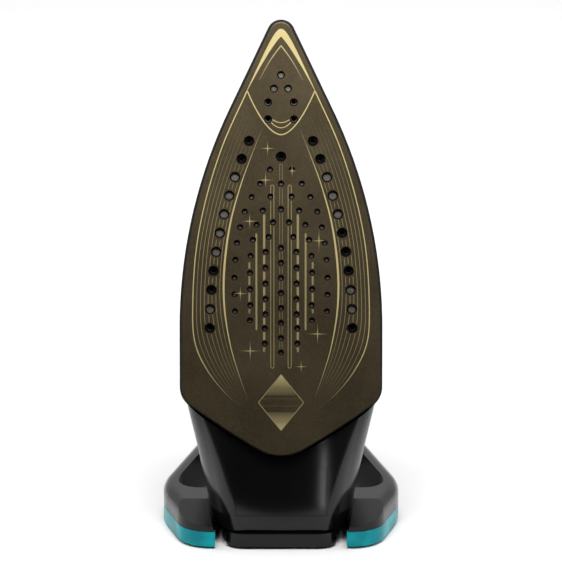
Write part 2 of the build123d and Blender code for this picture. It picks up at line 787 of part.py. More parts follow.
# ---------------------------------------------------------------------------- temperature dial
with BuildPart() as temperature_dial:
    with BuildSketch(Plane.XY.offset(deck_z + running_gap)):
        with Locations((0, dial_y)):
            Circle(dial_radius)
            with PolarLocations(dial_radius + 1.0, 36):
                Circle(1.3, mode=Mode.SUBTRACT)
    extrude(amount=dial_height)
    chamfer(temperature_dial.faces().sort_by(Axis.Z)[-1].outer_wire().edges(), 0.5)
finish(temperature_dial, "temperature_dial")

with BuildPart() as dial_spindle:
    with BuildSketch(Plane.XY.offset(cover_top + 1.0)):
        with Locations((0, dial_y)):
            Circle(spindle_radius)
    extrude(amount=deck_z + running_gap - cover_top - 1.0)
finish(dial_spindle, "dial_spindle")

# Indicator lens in the rear post and the small control board behind it.
with BuildPart() as indicator_lens:
    with BuildSketch(Plane.XY.offset(handle_split_z + 3)):
        with Locations((0, heel_y - lens_back)):
            SlotOverall(lens_length, lens_width)
    extrude(amount=handle_crest[1][1] - handle_split_z)
    add(handle_form(), mode=Mode.INTERSECT)
    add(handle_form(handle_wall), mode=Mode.SUBTRACT)
finish(indicator_lens, "indicator_lens")

with BuildPart() as control_board:
    with Locations((0, heel_y - board_back, 84)):
        Box(28, 1.6, 26)
        with Locations((-8, -2, -6), (6, -2, 6), (8, -2, -8)):
            Box(6, 4, 6)
finish(control_board, "control_board")

# Two long screws that clamp the handle's rear post to the heel.
with BuildPart() as handle_screws:
    with BuildSketch(Plane.XY.offset(handle_foot + handle_wall)):
        with Locations((11, heel_y - handle_screw_back), (-11, heel_y - handle_screw_back)):
            Circle(screw_head_radius)
            RegularPolygon(screw_radius * 0.8, 6, mode=Mode.SUBTRACT)
    extrude(amount=screw_head)
finish(handle_screws, "handle_screws")

# ============================================================================ THE BASE
def base_outline(plane, grow=0.0):
    """The base's outer outline on a plane, grown evenly: blunt wings in front, a long round back."""
    with BuildSketch(plane) as outline:
        with BuildLine():
            Polyline((0, wing_front_y), wing_tip, base_flank, back_corner, (0, back_corner[1]))
            mirror(about=Plane.YZ)
        make_face()
        rounded = [(wing_tip, wing_radius), (base_flank, flank_radius), (back_corner, back_radius)]
        for (x, y), radius in rounded:
            near = [v for v in outline.vertices() if abs(v.Y - y) < 0.01]
            fillet([v for v in near if abs(abs(v.X) - x) < 0.01], radius)
        if grow:
            offset(amount=grow)
    return outline.sketch


def well_outline(plane, grow=0.0):
    """The well's outline on a plane, grown evenly: the ring's inner edge, with rounded front corners."""
    with BuildSketch(plane) as outline:
        add(base_outline(Plane.XY, -ring_width))
        with BuildSketch(mode=Mode.SUBTRACT):
            with Locations((0, well_front_y - base_depth / 2)):
                Rectangle(2 * base_depth, base_depth)
        fillet(outline.vertices().group_by(Axis.Y)[0], well_corner)
        if grow:
            offset(amount=grow)
    return outline.sketch


def accent_band(plane, depth, gap):
    """The strip that an end cap fills on the outside of one wing, seen from above."""
    with BuildSketch(plane) as band:
        add(base_outline(Plane.XY))
        add(base_outline(Plane.XY, -depth), mode=Mode.SUBTRACT)
        with BuildSketch(mode=Mode.INTERSECT):
            with Locations((notch_half + base_depth / 2 - gap, accent_depth + gap - base_depth / 2)):
                Rectangle(base_depth, base_depth)
    return band.sketch


ground = Plane.XY.offset(foot_height)
with BuildPart() as base_shell:
    extrude(base_outline(ground), amount=ring_top - foot_height)
    fillet(base_shell.faces().sort_by(Axis.Z)[-1].edges(), ring_edge_radius)
    extrude(well_outline(Plane.XY.offset(well_floor)), amount=ring_top, mode=Mode.SUBTRACT)
    # the wings' fronts slope back above the end caps
    with BuildSketch(Plane.YZ.offset(-base_depth)):
        with BuildLine():
            Polyline(
                (wing_front_y, accent_top + slope_foot),
                (wing_front_y + slope_run, ring_top),
                (wing_front_y + slope_run, ring_top + 1),
                (wing_front_y - 1, ring_top + 1),
                (wing_front_y - 1, accent_top + slope_foot),
                close=True,
            )
        make_face()
    extrude(amount=2 * base_depth, mode=Mode.SUBTRACT)
    # the channel between the wings, and the tongue that fills it up to the well's floor
    with BuildSketch(Plane.XZ.offset(1)):
        with BuildLine():
            Polyline(
                (0, well_floor),
                (notch_half, well_floor),
                (notch_half + channel_flare, ring_top + 1),
                (0, ring_top + 1),
            )
            mirror(about=Plane.YZ)
        make_face()
    extrude(amount=-well_front_y - well_corner - 1, mode=Mode.SUBTRACT)
    add(prism(notch_half, (-1, notch_depth), (0, ring_top)), mode=Mode.SUBTRACT)
    with BuildSketch(ground):
        with Locations((0, notch_depth / 2 + tongue_corner / 2)):
            RectangleRounded(2 * tongue_half, notch_depth + tongue_corner, tongue_corner)
    extrude(amount=well_floor - foot_height)
    # hollow underside: below the well's floor, and up inside the ring behind the end caps
    hollow = base_outline(ground, -accent_thickness - wall)
    extrude(hollow, amount=well_floor - floor_wall - foot_height, mode=Mode.SUBTRACT)
    for side in (1, -1):
        band = accent_band(ground, accent_thickness + accent_gap, accent_gap)
        strip = extrude(band, amount=accent_top + accent_gap - foot_height, mode=Mode.PRIVATE)
        add(strip if side == 1 else mirror(strip, about=Plane.YZ, mode=Mode.PRIVATE), mode=Mode.SUBTRACT)
    with BuildSketch(Plane.XZ.offset(-base_depth)):
        with Locations((0, gland_z)):
            Circle(gland_radius)
    extrude(amount=ring_width + 2, mode=Mode.SUBTRACT)
finish(base_shell, "base_shell", dock=False)

# Satin end caps that wrap the wings' outer faces, one on each side.
for name, side in (("accent_right", 1), ("accent_left", -1)):
    with BuildPart() as accent:
        extrude(accent_band(ground, accent_thickness, 0), amount=accent_top - foot_height)
        if side < 0:
            mirror(about=Plane.YZ, mode=Mode.REPLACE)
    finish(accent, name, dock=False)

# Plate that closes the underside, held by four screws, with rubber feet beside them.
with BuildPart() as base_bottom:
    extrude(base_outline(ground, -accent_thickness - wall - accent_gap), amount=bottom_thickness)
    add(prism(notch_half + wall, (-1, notch_depth + wall), (0, ring_top)), mode=Mode.SUBTRACT)
finish(base_bottom, "base_bottom", dock=False)

with BuildPart() as base_feet:
    with BuildSketch(Plane.XY):
        with Locations(*foot_spots, *[(-x, y) for x, y in foot_spots]):
            Circle(foot_radius)
    extrude(amount=foot_height)
    chamfer(base_feet.faces().group_by(Axis.Z)[0].edges(), 0.4)
finish(base_feet, "base_feet", dock=False)

with BuildPart() as base_screws:
    with BuildSketch(ground.offset(-screw_head / 2)):
        with Locations(*base_screw_spots, *[(-x, y) for x, y in base_screw_spots]):
            Circle(screw_head_radius)
            RegularPolygon(screw_radius * 0.8, 6, mode=Mode.SUBTRACT)
    extrude(amount=screw_head / 2)
finish(base_screws, "base_screws", dock=False)

# Soft pads on the well's floor that the heel stands on.
with BuildPart() as rest_pads:
    with BuildSketch(Plane.XY.offset(well_floor)):
        with Locations(*rest_pad_spots, *[(-x, y) for x, y in rest_pad_spots]):
            SlotOverall(12, 5)
    extrude(amount=heel_pad - pad_clearance)
finish(rest_pads, "rest_pads", dock=False)

# Plinth with three sprung contacts that reach into the heel's socket.
plinth_plane = Plane.XY.offset(well_floor)
with BuildPart() as contact_plinth:
    with BuildSketch(plinth_plane):
        with Locations((0, plinth_y)):
            RectangleRounded(plinth_length, plinth_depth, plinth_corner)
    extrude(amount=plinth_top - well_floor)
    chamfer(contact_plinth.faces().sort_by(Axis.Z)[-1].edges(), 1.0)
    with BuildSketch(Plane.XY.offset(plinth_top)):
        with Locations((0, plinth_y)):
            with GridLocations(blade_pitch, 1, 3, 1):
                Rectangle(3.2, 11.0)
    extrude(amount=-blade_depth, mode=Mode.SUBTRACT)
finish(contact_plinth, "contact_plinth", dock=False)

with BuildPart() as contact_blades:
    with BuildSketch(Plane.XY.offset(plinth_top - blade_depth)):
        with Locations((0, plinth_y)):
            with GridLocations(blade_pitch, 1, 3, 1):
                Rectangle(2.2, 9.0)
    extrude(amount=blade_depth + 0.5)
finish(contact_blades, "contact_blades", dock=False)

# Lead inlet in the back of the base, the board that feeds the contacts, and the ready lamp.
with BuildPart() as cord_gland:
    with BuildSketch(Plane.XZ.offset(-base_depth - 1.0)):
        with Locations((0, gland_z)):
            Circle(gland_radius - 0.05)
    extrude(amount=ring_width)
    with BuildSketch(Plane.XZ.offset(-base_depth - 1.0)):
        with Locations((0, gland_z)):
            Circle(cord_radius)
    extrude(amount=ring_width, mode=Mode.SUBTRACT)
finish(cord_gland, "cord_gland", dock=False)

with BuildPart() as base_board:
    with Locations((0, base_depth / 2, ground.origin.Z + bottom_thickness + 0.8)):
        Box(52, 40, 1.6)
    for x, y in ((-16, -10), (0, 8), (15, -6)):
        with Locations((x, base_depth / 2 + y, ground.origin.Z + bottom_thickness + 2.2)):
            Box(7, 6, 1.2)
finish(base_board, "base_board", dock=False)

# ---------------------------------------------------------------------------- placing and writing
# The whole object stands on Z = 0 with the middle of its box over the origin.
box = Compound(pieces).bounding_box()
centred = Location((-box.center().X, -box.center().Y, -box.min.Z))
for piece in pieces:
    export_step(piece.moved(centred), f"parts/{piece.label}.step")
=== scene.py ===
"""Looks of a cordless steam iron, docked nose-up on its charging base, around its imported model."""

import math

import bpy
import numpy as np
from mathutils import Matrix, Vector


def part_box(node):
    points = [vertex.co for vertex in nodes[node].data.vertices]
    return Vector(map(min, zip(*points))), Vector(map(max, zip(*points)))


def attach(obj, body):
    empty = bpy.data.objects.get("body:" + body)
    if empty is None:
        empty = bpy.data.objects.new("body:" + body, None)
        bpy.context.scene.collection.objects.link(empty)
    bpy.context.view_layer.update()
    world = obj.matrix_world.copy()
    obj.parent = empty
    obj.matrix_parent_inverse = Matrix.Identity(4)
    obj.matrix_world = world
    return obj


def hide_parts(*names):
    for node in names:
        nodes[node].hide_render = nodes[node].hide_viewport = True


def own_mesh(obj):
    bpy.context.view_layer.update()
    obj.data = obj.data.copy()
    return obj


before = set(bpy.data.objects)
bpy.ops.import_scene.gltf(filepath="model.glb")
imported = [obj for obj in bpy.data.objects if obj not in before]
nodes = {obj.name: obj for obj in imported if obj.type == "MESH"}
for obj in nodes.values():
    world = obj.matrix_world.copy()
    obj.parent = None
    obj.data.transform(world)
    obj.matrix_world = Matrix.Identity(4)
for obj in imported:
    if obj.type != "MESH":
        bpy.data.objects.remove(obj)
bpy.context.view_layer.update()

# ---------------------------------------------------------------- studio
# A pale paper floor in a white room that is dim in front of the object. Soft panels light it from
# above, from both sides and from behind, and a narrow strip low in front draws the long highlight.
TILT = math.radians(17.0)
DISTANCE = 1.9
VIEW_WIDTH = 0.3016
LOOK_HEIGHT = 0.1544
FLOOR_FRONT = -0.112
FLOOR_REACH = 6.0
FLOOR_LINES = 9
PANELS_AIM = (0.0, -0.05, 0.13)


class Term:
    """A shader value: wraps one output socket, and each operator used on it adds a Math node."""

    def __init__(self, tree, socket):
        self.tree, self.socket = tree, socket

    def node(self, kind, settings=None, inputs=None, out=0):
        """Adds a node, sets its settings, then its sockets' values or links, and gives one output."""
        made = self.tree.nodes.new("ShaderNode" + kind)
        for key, value in (settings or {}).items():
            if key == "stops":
                while len(made.color_ramp.elements) < len(value):
                    made.color_ramp.elements.new(0.5)
                for element, (place, shade) in zip(made.color_ramp.elements, value):
                    element.position, element.color = place, (*shade, 1.0)
            else:
                setattr(made, key, value)
        for key, value in (inputs or {}).items():
            if isinstance(value, Term):
                self.tree.links.new(value.socket, made.inputs[key])
            else:
                made.inputs[key].default_value = value
        return Term(self.tree, made.outputs[out])

    def maths(self, operation, *values):
        """A Math node of the given operation on these values."""
        return self.node("Math", {"operation": operation}, dict(enumerate(values)))

    def __add__(self, other):
        return self.maths("ADD", self, other)

    def __sub__(self, other):
        return self.maths("SUBTRACT", self, other)

    def __rsub__(self, other):
        return self.maths("SUBTRACT", other, self)

    def __mul__(self, other):
        return self.maths("MULTIPLY", self, other)

    __radd__, __rmul__ = __add__, __mul__

    def blend(self, low, high):
        """A colour from low to high as this value goes from 0 to 1."""
        sockets = {0: self, 6: low, 7: high}
        return self.node("Mix", {"data_type": "RGBA"}, sockets, 2)

    def within(self, low, high):
        """0 below low, 1 above high, and a soft step between them."""
        limits = {"From Min": low, "From Max": high}
        return self.node("MapRange", {"interpolation_type": "SMOOTHSTEP"}, {0: self, **limits})


def rgba(red, green, blue):
    """A display colour, 0 to 255, as the linear colour that shaders use."""
    shade = np.array([red, green, blue]) / 255.0
    linear = np.where(shade <= 0.04045, shade / 12.92, ((shade + 0.055) / 1.055) ** 2.4)
    return (*linear.tolist(), 1.0)


def finish_of(name, paint, **fixed):
    """A material: paint(place) gives the sockets that vary, and fixed the shader's own values."""
    material = bpy.data.materials.new(name)
    material.use_nodes = True
    tree = material.node_tree
    shader = tree.nodes["Principled BSDF"]
    for key, value in fixed.items():
        shader.inputs[key.replace("_", " ")].default_value = value
    coordinates = tree.nodes.new("ShaderNodeTexCoord")
    place = Term(tree, coordinates.outputs["Object"])
    for key, value in paint(place).items():
        tree.links.new(value.socket, shader.inputs[key.replace("_", " ")])
    return material


def grain(place, scale, detail=2.0, roughness=0.5):
    """Soft noise, scale features to a metre."""
    sockets = {0: place, "Scale": scale, "Detail": detail, "Roughness": roughness}
    return place.node("TexNoise", {}, sockets)


def bumps(height, strength, distance):
    """A Bump node: height in units of distance, in metres."""
    return height.node("Bump", {}, {"Height": height, "Strength": strength, "Distance": distance})


def paper(place):
    """Backdrop paper: white, with a faint fibre, painted a little greyer where the lamps crowd the object,
    to even out their light.
    """
    back = place.node("SeparateXYZ", {}, {0: place}, 1)
    fibre = grain(place, 260.0, 2.0)
    # painted darkening: grey near the object, where the lamps are strongest, fading to white far back
    far_white = back.within(0.1, 1.0) * (0.9 + 0.1 * fibre)
    return {"Base_Color": far_white.blend(rgba(222, 222, 222), rgba(255, 255, 255))}


def build_studio():
    """Camera, room light, panels and floor. The camera looks level with LOOK_HEIGHT at the base's front."""
    scene = bpy.context.scene
    scene.view_settings.view_transform = "Standard"
    tongue_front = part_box("base_shell")[0].y
    look_at = np.array([0.0, tongue_front, LOOK_HEIGHT])
    back = np.array([0.0, -math.cos(TILT), math.sin(TILT)])
    lens = bpy.data.cameras.new("camera")
    lens.lens = lens.sensor_width * DISTANCE / VIEW_WIDTH
    lens.clip_end = 20.0
    camera = bpy.data.objects.new("camera", lens)
    camera.location = look_at + back * DISTANCE
    camera.rotation_euler = (math.pi / 2 - TILT, 0.0, 0.0)
    scene.collection.objects.link(camera)
    scene.camera = camera

    world = bpy.data.worlds.new("studio")
    world.use_nodes = True
    scene.world = world
    tree = world.node_tree
    background = tree.nodes["Background"]
    way = Term(tree, tree.nodes.new("ShaderNodeTexCoord").outputs["Generated"])
    forward = way.node("SeparateXYZ", {}, {0: way}, 1)
    upward = way.node("SeparateXYZ", {}, {0: way}, 2)
    seen = Term(tree, tree.nodes.new("ShaderNodeLightPath").outputs["Is Camera Ray"])
    room = forward.within(-0.70, 0.40) * 0.70 + upward.within(0.35, 0.90) * 0.55 + 0.010
    tree.links.new((seen + (1 - seen) * room).socket, background.inputs["Strength"])
    background.inputs["Color"].default_value = (1.0, 1.0, 1.0, 1.0)

    for name, place, size, power in (
        ("top_panel", (0.0, -0.36, 0.60), (0.45, 0.15), 4.2),
        ("left_panel", (-0.95, 0.05, 0.45), (0.3, 0.9), 2.5),
        ("right_panel", (0.95, 0.05, 0.45), (0.3, 0.9), 2.5),
        ("strip_panel", (0.70, -0.84, -0.42), (0.09, 0.5), 0.8),
        ("back_panel", (0.0, 0.9, 1.2), (1.2, 0.6), 7.0),
    ):
        panel = bpy.data.lights.new(name, "AREA")
        panel.shape = "RECTANGLE"
        panel.size, panel.size_y = size
        panel.energy = power
        lamp = bpy.data.objects.new(name, panel)
        lamp.location = place
        aim = np.array(PANELS_AIM) - np.array(place)
        yaw, pitch = math.atan2(-aim[0], aim[1]), math.atan2(aim[2], math.hypot(aim[0], aim[1]))
        lamp.rotation_euler = (math.pi / 2 + pitch, 0.0, yaw)
        scene.collection.objects.link(lamp)

    across, along = np.meshgrid(
        np.linspace(-FLOOR_REACH, FLOOR_REACH, FLOOR_LINES),
        np.linspace(FLOOR_FRONT, FLOOR_REACH, FLOOR_LINES),
    )
    sheet = np.stack([across, along, np.zeros_like(across)], -1)
    pale = finish_of("floor_paper", paper, Roughness=0.8, Specular_IOR_Level=0.05)
    mesh = bpy.data.meshes.new("floor")
    index = np.arange(FLOOR_LINES**2).reshape(FLOOR_LINES, FLOOR_LINES)
    quads = np.stack([index[:-1, :-1], index[:-1, 1:], index[1:, 1:], index[1:, :-1]], -1).reshape(-1, 4)
    mesh.from_pydata(sheet.reshape(-1, 3).tolist(), [], quads.tolist())
    mesh.materials.append(pale)
    floor = bpy.data.objects.new("floor", mesh)
    scene.collection.objects.link(floor)


build_studio()


# ---------------------------------------------------------------- soleplate
# Pressed aluminium plate under baked metallic enamel: bronze-brown, with fine flakes and a faint
# orange-peel surface. The iron stands on its tail and leans back, and its directions are its own.
LEAN = math.radians(10.0)
to_nose = np.array([0.0, math.sin(LEAN), math.cos(LEAN)])
off_face = np.array([0.0, -math.cos(LEAN), math.sin(LEAN)])


def corners(node):
    """All the vertices of a CAD node as one array, a row for each."""
    mesh = nodes[node].data
    flat = np.empty(len(mesh.vertices) * 3, np.float32)
    mesh.vertices.foreach_get("co", flat)
    return flat.reshape(-1, 3).astype(float)


plate = corners("soleplate")
nose_point = to_nose * (plate @ to_nose).max() + off_face * (plate @ off_face).max()
# depths below the ironing face over which the holes' painted shade sets in
HOLE_PAINTED_SHADE = (0.00006, 0.00020)


def dress(material, *names):
    """Gives CAD nodes a finish."""
    for name in names:
        mesh = nodes[name].data
        mesh.materials.clear()
        mesh.materials.append(material)


def enamel(place):
    """Brown enamel: flake sparkle over slow cloudy variation. Below the ironing face, in the holes, it is
    painted dark as shade: depth is the distance along the plate's normal."""
    flakes = place.node("TexVoronoi", {}, {0: place, "Scale": 5200.0}, 1)
    spark = flakes.node("SeparateColor", {}, {0: flakes}, 0)
    cloud = grain(place, 38.0, 3.0)
    normal = tuple(off_face.tolist())
    height = place.node("VectorMath", {"operation": "DOT_PRODUCT"}, {0: place, 1: normal}, 1)
    depth = float(nose_point @ off_face) - height
    tint = (spark.within(0.55, 1.0) * 0.5 + cloud.within(0.3, 0.7) * 0.2).blend(
        rgba(80, 70, 52), rgba(124, 111, 85)
    )
    return {
        "Base_Color": depth.within(*HOLE_PAINTED_SHADE).blend(tint, rgba(16, 12, 8)),
        "Roughness": 0.40 + 0.10 * spark + 0.05 * cloud,
        "Normal": bumps(grain(place, 2600.0, 1.0) + 0.5 * spark, 0.25, 0.00004),
    }


sole_enamel = finish_of("sole_enamel", enamel, Metallic=0.85, Specular_IOR_Level=0.4, Coat_Roughness=0.3)
dress(sole_enamel, "soleplate")

# ---------------------------------------------------------------- gold print on the soleplate
# Fine gold lines screen-printed on the enamel: a crescent at the nose, a shield, a vase-shaped
# pattern of contour lines, slots down the middle, four-point stars and a rhombus at the rear.
# Each line is a flat ribbon a few hundredths of a millimetre thick.
MM = 0.001
PRINT_HEIGHT = 0.035
PRINT_ROOT = 0.01
print_lines, print_ink = [], []


def on_iron(x, along, up):
    """Places points of the iron: across from its middle, along from the nose, up from the ironing face."""
    x, along, up = np.broadcast_arrays(np.asarray(x, float), along, up)
    place = nose_point - MM * (along[..., None] * to_nose + up[..., None] * off_face)
    place[..., 0] += MM * x
    return place


def grid_piece(name, grids, body, material, closed=(False, False), smooth=True, ink=None):
    """One mesh from grids of points, each rows by columns by three: neighbours on a grid share a quad.

    A closed direction joins its last line of points to its first. Quads are turned to face outward
    where a grid's signed volume, the sum of its triangles' triple products, comes out negative.
    """
    points, quads, start = [], [], 0
    for grid in grids:
        rows, columns = grid.shape[:2]
        index = start + np.arange(rows * columns).reshape(rows, columns)
        if closed[0]:
            index = np.vstack([index, index[:1]])
        if closed[1]:
            index = np.hstack([index, index[:, :1]])
        faces = np.stack([index[:-1, :-1], index[:-1, 1:], index[1:, 1:], index[1:, :-1]], -1).reshape(-1, 4)
        a, b, c, d = (grid.reshape(-1, 3) - grid.mean((0, 1)))[faces - start].transpose(1, 0, 2)
        volume = (np.cross(b, c) * a).sum() + (np.cross(c, d) * a).sum()
        quads.append(faces if volume > 0 else faces[:, ::-1])
        points.append(grid.reshape(-1, 3))
        start += rows * columns
    mesh = bpy.data.meshes.new(name)
    mesh.from_pydata(np.vstack(points).tolist(), [], np.vstack(quads).tolist())
    mesh.polygons.foreach_set("use_smooth", np.full(len(mesh.polygons), smooth))
    if ink is not None:
        layer = mesh.attributes.new("ink", "FLOAT", "POINT")
        layer.data.foreach_set("value", np.concatenate([i.ravel() for i in ink]).astype(np.float32))
    mesh.materials.append(material)
    piece = bpy.data.objects.new(name, mesh)
    bpy.context.scene.collection.objects.link(piece)
    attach(piece, body)
    return piece


def gold(place):
    """Gold ink: fades to the enamel's brown where its ink value falls, with a fine metallic grain."""
    ink = place.node("Attribute", {"attribute_name": "ink"}, {}, 2)
    flake = grain(place, 4200.0, 1.0)
    return {
        "Base_Color": (ink * (0.85 + 0.3 * flake)).blend(rgba(88, 77, 58), rgba(222, 205, 146)),
        "Roughness": 0.42 + 0.12 * flake,
        "Normal": bumps(flake, 0.15, 0.00003),
    }


gold_ink = finish_of("gold_ink", gold, Metallic=0.6, Specular_IOR_Level=0.4)


def through(points, count):
    """A smooth curve through the given points: cubic Hermite spans with tangents from the neighbours."""
    points = np.asarray(points, float)
    slope = np.gradient(points, axis=0)
    t = np.linspace(0, len(points) - 1, count)
    span = np.clip(t.astype(int), 0, len(points) - 2)
    f = (t - span)[:, None]
    a, b, da, db = points[span], points[span + 1], slope[span], slope[span + 1]
    h = f * f * (3 - 2 * f)
    return a * (1 - h) + b * h + da * f * (1 - f) ** 2 - db * f * f * (1 - f)


def band(left, right, height=PRINT_HEIGHT):
    """A flat film between two edges: a four-cornered section, sunk a little into the plate."""
    rows = [(left, PRINT_ROOT), (left, -height), (right, -height), (right, PRINT_ROOT)]
    film = np.stack([on_iron(xy[:, 0], xy[:, 1], lift) for xy, lift in rows], 1)
    tips = film[[0, -1]].mean(1, keepdims=True).repeat(4, 1)
    return np.concatenate([tips[:1], film, tips[1:]])


def press(film, ink):
    """Adds a film to the print, with its ink value at each row."""
    print_lines.append(film)
    print_ink.append(np.pad(np.broadcast_to(ink, len(film) - 2), 1, "edge")[:, None].repeat(4, 1))


def ribbon(line, width):
    """A film along a line on the plate: its edges stand half the width to each side of the line."""
    way = np.gradient(line, axis=0)
    way /= np.linalg.norm(way, axis=1)[:, None] + 1e-12
    side = np.stack([-way[:, 1], way[:, 0]], 1) * np.broadcast_to(width, len(line))[:, None] / 2
    return band(line - side, line + side)


# the plate's holes: distance from the nose, first hole's x, pitch, holes to each side, sweep per mm of x
vent_rows = np.array([
    (79.8, 5.9, 11.0, 1, 0.00), (87.4, 0.0, 11.2, 2, 0.00), (94.3, 5.7, 10.1, 2, 0.02),
    (101.2, 0.0, 9.8, 3, 0.07), (107.7, 4.3, 8.9, 3, 0.15), (115.0, 6.7, 8.5, 3, 0.19),
    (122.3, 0.0, 8.2, 4, 0.26), (130.4, 0.0, 8.4, 4, 0.32), (138.6, 0.0, 8.4, 4, 0.36),
    (146.8, 0.0, 8.3, 4, 0.40), (155.0, 0.0, 8.4, 3, 0.40), (163.1, 0.0, 8.8, 2, 0.34),
    (171.4, 0.0, 8.8, 2, 0.34), (179.4, 0.0, 8.8, 1, 0.00),
])
rank = np.arange(4)
vent_x = vent_rows[:, 1:2] + vent_rows[:, 2:3] * rank
vent_y = vent_rows[:, :1] + vent_rows[:, 4:5] * vent_x
real = rank < vent_rows[:, 3:4]
vents = np.stack([vent_x[real], vent_y[real]], 1)
row = np.array([(17.2, 64.4), (33.1, 114.4), (38.6, 166.1)])
centre = row[0] + np.linalg.solve(row[1:] - row[0], ((row[1:] - row[0]) ** 2).sum(1) / 2)
ends = np.arctan2(row[[0, 2], 1] - centre[1], row[[0, 2], 0] - centre[0])
turn = np.linspace(ends[0], ends[1], 11)
side_holes = centre + np.hypot(*(row[0] - centre)) * np.stack([np.cos(turn), np.sin(turn)], 1)
nose_holes = np.array([(6.9, 43.5), (7.0, 52.6)])
middle_hole = np.array([(0.0, 72.8)])
holes = np.vstack([vents, nose_holes, side_holes, middle_hole])
hole_reach = np.concatenate([np.full(len(vents), 1.85), np.full(2, 2.35), np.full(12, 3.0)])


def lay(line, width, ink):
    """Prints a line on both halves of the plate, broken wherever it would run over a hole."""
    width = np.broadcast_to(width, len(line))
    ink = np.broadcast_to(ink, len(line))
    gap = np.hypot(np.abs(line[:, :1]) - holes[:, 0], line[:, 1:] - holes[:, 1])
    clear = (gap > hole_reach).all(1)
    for run in np.split(np.arange(len(line)), np.flatnonzero(np.diff(clear.astype(int))) + 1):
        if clear[run[0]] and len(run) > 2:
            press(ribbon(line[run], width[run]), ink[run])


def draw(points, width, ink=1.0, count=160, mirrored=True):
    """Prints a smooth line through points, and its mirror image."""
    line = through(points, count)
    for side in (1, -1) if mirrored else (1,):
        lay(line * [side, 1], width, ink)


def swell(count, start, end, power=1.0):
    """0 at both ends of a line and 1 between the two given fractions of its length."""
    t = np.linspace(0, 1, count)
    return (np.clip(t / start, 0, 1) * np.clip((1 - t) / end, 0, 1)) ** power


outer_side = [
    (18.2, 37.2), (31.1, 66.0), (40.3, 95.1), (45.9, 124.0), (47.8, 155.0),
    (46.6, 173.8), (40.3, 188.4), (30.2, 201.5), (19.0, 211.0),
]
inner_side = [
    (9.7, 56.5), (15.6, 71.5), (21.8, 88.5), (27.6, 110.0), (30.7, 134.0),
    (30.6, 155.0), (27.4, 175.4), (22.6, 192.0), (18.0, 205.0),
]


def print_borders():
    """The outer line, the vase line and the faint contour lines spaced evenly between them."""
    count = 200
    t = np.linspace(0, 1, count)
    draw(outer_side, 0.55 * np.clip((1 - t) / 0.25, 0, 1), np.clip((1 - t) / 0.35, 0, 1), count)
    draw(inner_side, 0.25 + 0.85 * np.exp(-(((t - 0.5) / 0.22) ** 2)), swell(count, 0.2, 0.2), count)
    for share in np.arange(1, 8) / 8:
        between = np.array(outer_side) * (1 - share) + np.array(inner_side) * share
        draw(between, 0.24 * swell(count, 0.25, 0.3, 0.5), 0.55 * swell(count, 0.35, 0.4), count)


def print_nose():
    """The crescent along the plate's edge, a hyperbola outside and a power curve inside, the thin V
    below it and the shield's parabolas."""
    x = 18.3 * np.sin(np.linspace(-math.pi / 2, math.pi / 2, 121))
    outer = np.stack([x, 4.0 + 9.5 * (np.sqrt(1 + (x / 4.2) ** 2) - 1)], 1)
    inner = np.stack([x * 0.99, 8.2 + 29.0 * np.abs(x / 18.3) ** 1.18], 1)
    press(band(inner, outer), 0.92)
    draw([(0.0, 13.0), (4.2, 18.6), (8.0, 24.6), (11.6, 31.5)], 0.5, np.linspace(0.9, 0.15, 60), 60)
    for half, low, rise, power, width in (
        (18.2, 60.9, 23.7, 1.8, 0.6), (5.3, 54.4, 2.2, 2.0, 0.42), (5.4, 57.2, 3.1, 2.0, 0.42),
    ):
        x = np.linspace(-half, half, 90)
        lay(np.stack([x, low - rise * np.abs(x / half) ** power], 1), width, 0.9)


def print_slots():
    """Rounded slots down the middle: narrow stadiums, two of them drawn as bright outlines."""
    for x, start, end, radius, width, ink in (
        (0.0, 76.8, 179.2, 0.7, 0.3, 0.30), (4.7, 88.1, 187.8, 0.85, 0.34, 0.55),
        (9.1, 104.3, 178.7, 0.3, 0.6, 0.50), (13.3, 114.5, 166.8, 0.25, 0.5, 0.48),
        (17.1, 130.2, 157.7, 0.25, 0.5, 0.42),
    ):
        turn = np.linspace(0, math.pi, 9)
        run = np.arange(start + radius, end - radius, 0.6)
        ring = np.vstack([
            np.stack([x - radius + 0 * run, run[::-1]], 1),
            np.stack([x - radius * np.cos(turn), start + radius - radius * np.sin(turn)], 1),
            np.stack([x + radius + 0 * run, run], 1),
            np.stack([x + radius * np.cos(turn), end - radius + radius * np.sin(turn)], 1),
        ])
        for side in (1, -1) if x else (1,):
            lay(ring * [side, 1], width, ink)


def print_stars():
    """Four-point stars: crossed ribbons that taper to a point at each end."""
    t = np.linspace(-1, 1, 25)
    taper = (1 - np.abs(t)) ** 2.2
    for x, along, across, arm in (
        (-7.2, 68.3, 3.8, 3.8), (-8.3, 85.4, 4.3, 4.3), (6.0, 80.5, 2.4, 3.2), (-16.9, 107.7, 4.0, 4.0),
        (20.5, 118.3, 3.8, 6.5), (-22.0, 147.0, 3.8, 3.8), (19.8, 169.1, 5.7, 5.7),
        (-16.7, 178.4, 5.7, 5.7), (10.9, 187.0, 3.2, 3.2),
    ):
        for reach in ((across, 0.0), (0.0, arm)):
            line = np.array([x, along]) + t[:, None] * reach
            press(ribbon(line, 0.62 * taper + 0.05), 0.72)


def print_rhombus():
    """A rhombus of level bars, solid towards its two tips and open across its middle."""
    tip, end, half = 191.3, 222.1, 12.3
    middle = (tip + end) / 2
    levels = np.concatenate([np.arange(191.9, 202.5, 0.62), [204.6, 208.6], np.arange(212.4, 221.9, 0.62)])
    for level in levels:
        reach = half * (1 - abs(level - middle) / (middle - tip)) + 0.05
        solid = 1.0 - np.clip(min(level - tip, end - level) / 13.0, 0, 1)
        line = np.stack([np.linspace(-reach, reach, 12), np.full(12, level)], 1)
        press(ribbon(line, 0.12 + 0.52 * solid**1.2), 0.25 + 0.75 * solid)
    for corner in ((0.0, tip), (0.0, end)):
        line = np.stack([np.linspace(0, half, 12), np.linspace(corner[1], middle, 12)], 1)
        for side in (1, -1):
            lay(line * [side, 1], 0.3, 0.75)


